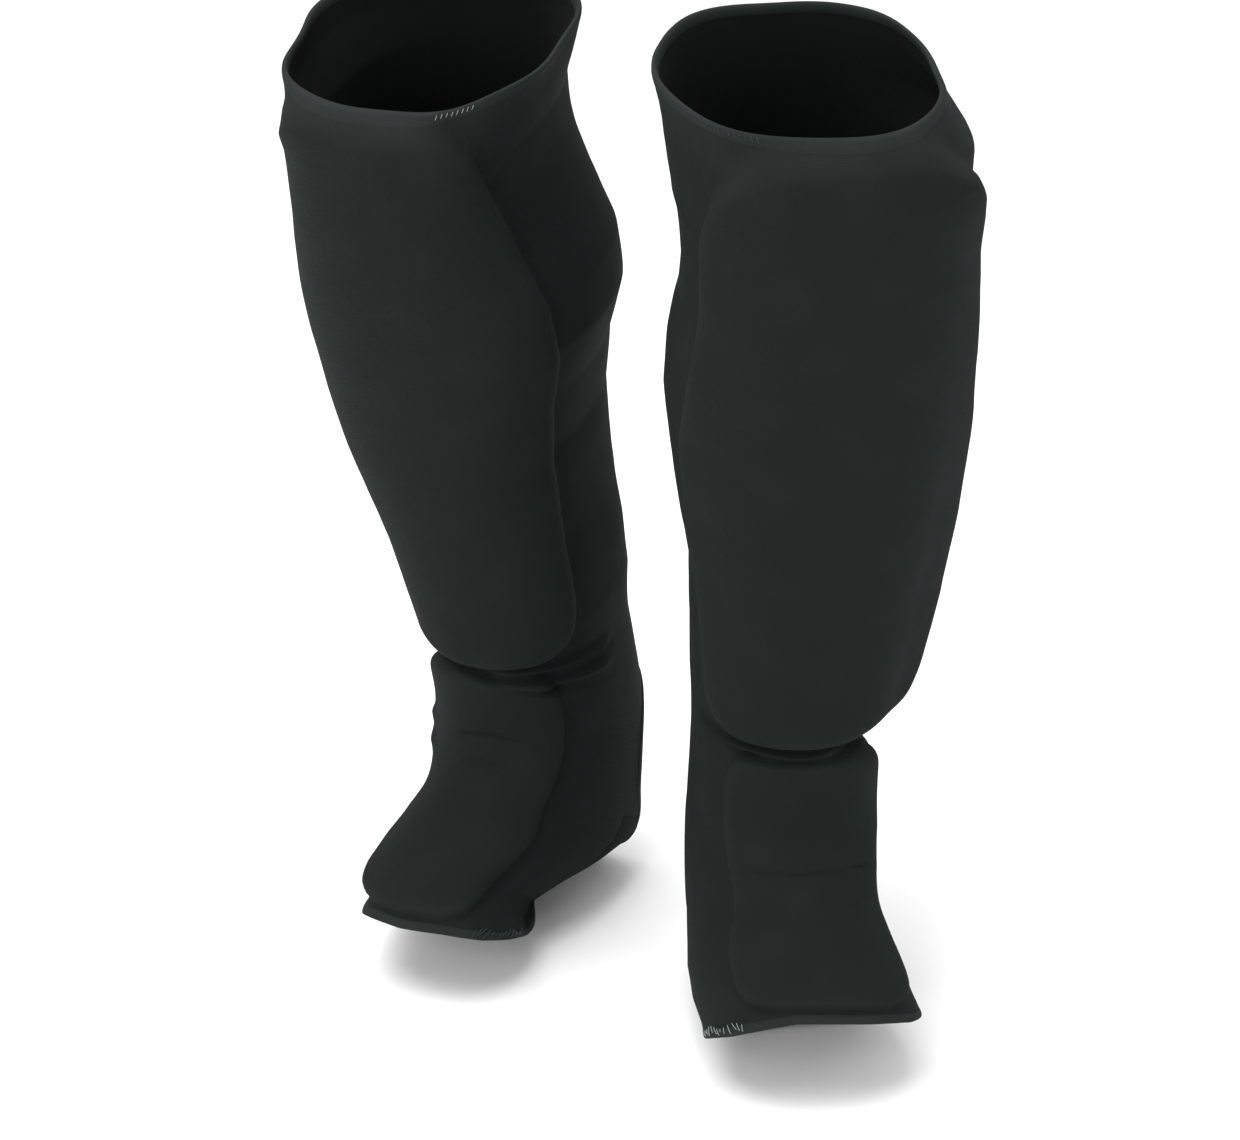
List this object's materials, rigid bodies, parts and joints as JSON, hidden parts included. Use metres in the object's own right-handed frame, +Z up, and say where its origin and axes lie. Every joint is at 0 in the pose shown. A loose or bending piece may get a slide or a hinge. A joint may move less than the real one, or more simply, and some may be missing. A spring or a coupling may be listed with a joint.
{
  "type": "shin guard",
  "caption": "Pair of cloth shin and instep guards: elastic sleeves with padded shin and instep panels, open at the heel and toes, bending at the ankle.",
  "frame": {"origin": "on the floor, in the middle of the pair's box", "axes": "+Z up, toes towards -Y, +X towards the wearer's left"},
  "size_m": [0.3043, 0.2752, 0.4757],
  "materials": {
    "front_fabric": "matt fine jersey",
    "sleeve_fabric": "matt rib knit",
    "lining_fabric": "matt knit",
    "hem_fabric": "matt folded knit",
    "foam": "closed-cell foam sheet",
    "elastic": "ribbed woven elastic",
    "thread": "spun polyester thread"
  },
  "bodies": {
    "left_leg": {"left_shin_lining": "lining_fabric", "left_shin_pad": "foam", "left_shin_cover": "front_fabric", "left_calf_panel": "sleeve_fabric", "left_top_elastic": "elastic", "left_top_band": "hem_fabric", "left_outer_seam": "hem_fabric", "left_inner_seam": "hem_fabric", "left_rim_stitches": "thread", "left_instep_pad_upper": "foam", "left_instep_cover_upper": "front_fabric", "left_heel_binding_upper": "hem_fabric", "left_ankle_gusset": "sleeve_fabric", "left_instep_pad_web": "foam"},
    "left_foot": {"left_instep_lining": "lining_fabric", "left_instep_pad_lower": "foam", "left_instep_cover_lower": "front_fabric", "left_outer_side_panel": "sleeve_fabric", "left_inner_side_panel": "sleeve_fabric", "left_sole_band": "sleeve_fabric", "left_toe_elastic": "elastic", "left_toe_band": "hem_fabric", "left_heel_binding_lower": "hem_fabric", "left_toe_stitches": "thread"},
    "right_leg": {"right_shin_lining": "lining_fabric", "right_shin_pad": "foam", "right_shin_cover": "front_fabric", "right_calf_panel": "sleeve_fabric", "right_top_elastic": "elastic", "right_top_band": "hem_fabric", "right_outer_seam": "hem_fabric", "right_inner_seam": "hem_fabric", "right_rim_stitches": "thread", "right_instep_pad_upper": "foam", "right_instep_cover_upper": "front_fabric", "right_heel_binding_upper": "hem_fabric", "right_ankle_gusset": "sleeve_fabric", "right_instep_pad_web": "foam"},
    "right_foot": {"right_instep_lining": "lining_fabric", "right_instep_pad_lower": "foam", "right_instep_cover_lower": "front_fabric", "right_outer_side_panel": "sleeve_fabric", "right_inner_side_panel": "sleeve_fabric", "right_sole_band": "sleeve_fabric", "right_toe_elastic": "elastic", "right_toe_band": "hem_fabric", "right_heel_binding_lower": "hem_fabric", "right_toe_stitches": "thread"}
  },
  "joints": [
    {"name": "right_guard_apart", "type": "slide", "parent": "left_leg", "child": "right_leg", "axis": [-1, 0, 0], "range_m": [0, 0.15]},
    {"name": "left_ankle_flex", "type": "hinge", "parent": "left_leg", "child": "left_foot", "pos_m": [0.0719, -0.0076, 0.08], "axis": [0.9954, 0.0958, 0], "range_deg": [-13, 32], "stiffness_Nm_per_rad": 1.2, "deforming": ["left_ankle_gusset", "left_instep_pad_web"]},
    {"name": "right_ankle_flex", "type": "hinge", "parent": "right_leg", "child": "right_foot", "pos_m": [-0.0351, 0.0894, 0.08], "axis": [0.8988, -0.4384, 0], "range_deg": [-7, 38], "stiffness_Nm_per_rad": 1.2, "deforming": ["right_ankle_gusset", "right_instep_pad_web"]}
  ]
}
